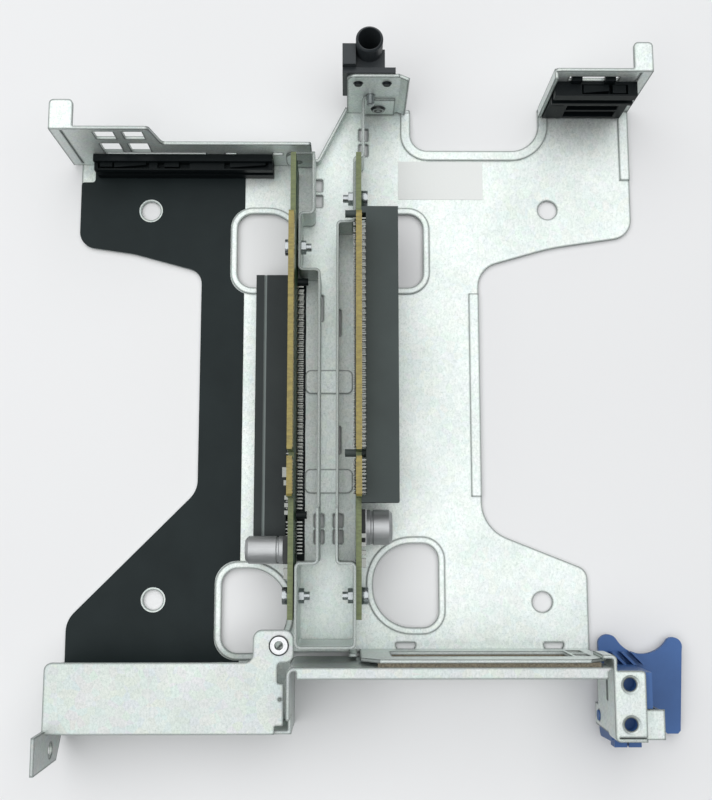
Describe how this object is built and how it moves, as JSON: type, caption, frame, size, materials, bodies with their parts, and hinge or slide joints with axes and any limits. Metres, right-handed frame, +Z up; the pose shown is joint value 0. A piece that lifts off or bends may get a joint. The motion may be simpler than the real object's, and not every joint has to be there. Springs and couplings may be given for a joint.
{
  "type": "riser card",
  "caption": "Folded sheet cage that carries upright riser boards with card slots, a raised rear bracket, card guides, a guide post and a hinged retention latch.",
  "frame": {"origin": "On the underside of the base plate, midway between the two boards, level with the near end of the edge tongues.", "axes": "+X across the cage to the latch side, +Y along the boards away from the card brackets, +Z up from the base plate."},
  "size_m": [0.1906, 0.2165, 0.034],
  "materials": {
    "galvanised": "galvanised sheet, pale grey-green",
    "film": "matt black film",
    "paper_label": "plain white, bare",
    "insert": "bright turned steel",
    "foam": "conductive foam, brown-grey",
    "blue_plastic": "blue moulded plastic",
    "board": "green laminate with solder mask",
    "contact": "gold plated pads",
    "slot_plastic": "black moulded plastic",
    "lead": "tinned leads",
    "can": "satin aluminium can",
    "chip": "dark moulded packages",
    "screw": "zinc plated steel",
    "black_plastic": "black moulded plastic",
    "post_metal": "dark moulded plastic",
    "rivet": "steel rivets"
  },
  "bodies": {
    "cage": {"base_plate": "galvanised", "left_far_wall": "galvanised", "centre_flange": "galvanised", "right_far_wall": "galvanised", "near_wall": "galvanised", "centre_frame": "galvanised", "rear_bracket": "galvanised", "latch_bracket": "galvanised", "insulator_film": "film", "label": "paper_label", "shelf_insert": "insert", "gasket": "foam", "left_riser_board": "board", "right_riser_board": "board", "left_edge_contacts": "contact", "right_edge_contacts": "contact", "left_slot": "slot_plastic", "right_slot": "slot_plastic", "left_slot_pins": "lead", "right_slot_pins": "lead", "left_capacitor": "can", "right_capacitor": "can", "left_board_chips": "chip", "right_board_chips": "chip", "board_screws": "screw", "board_nuts": "screw", "left_card_guide": "black_plastic", "right_card_guide": "black_plastic", "guide_post": "post_metal", "post_rivets": "rivet", "frame_rivet": "rivet", "post_screw": "screw"},
    "latch": {"retention_latch": "blue_plastic"}
  },
  "joints": [
    {"name": "latch_hinge", "type": "hinge", "parent": "cage", "child": "latch", "pos_m": [0.088, -0.0636, 0.009], "axis": [-1, 0, 0], "range_deg": [0, 70]}
  ]
}
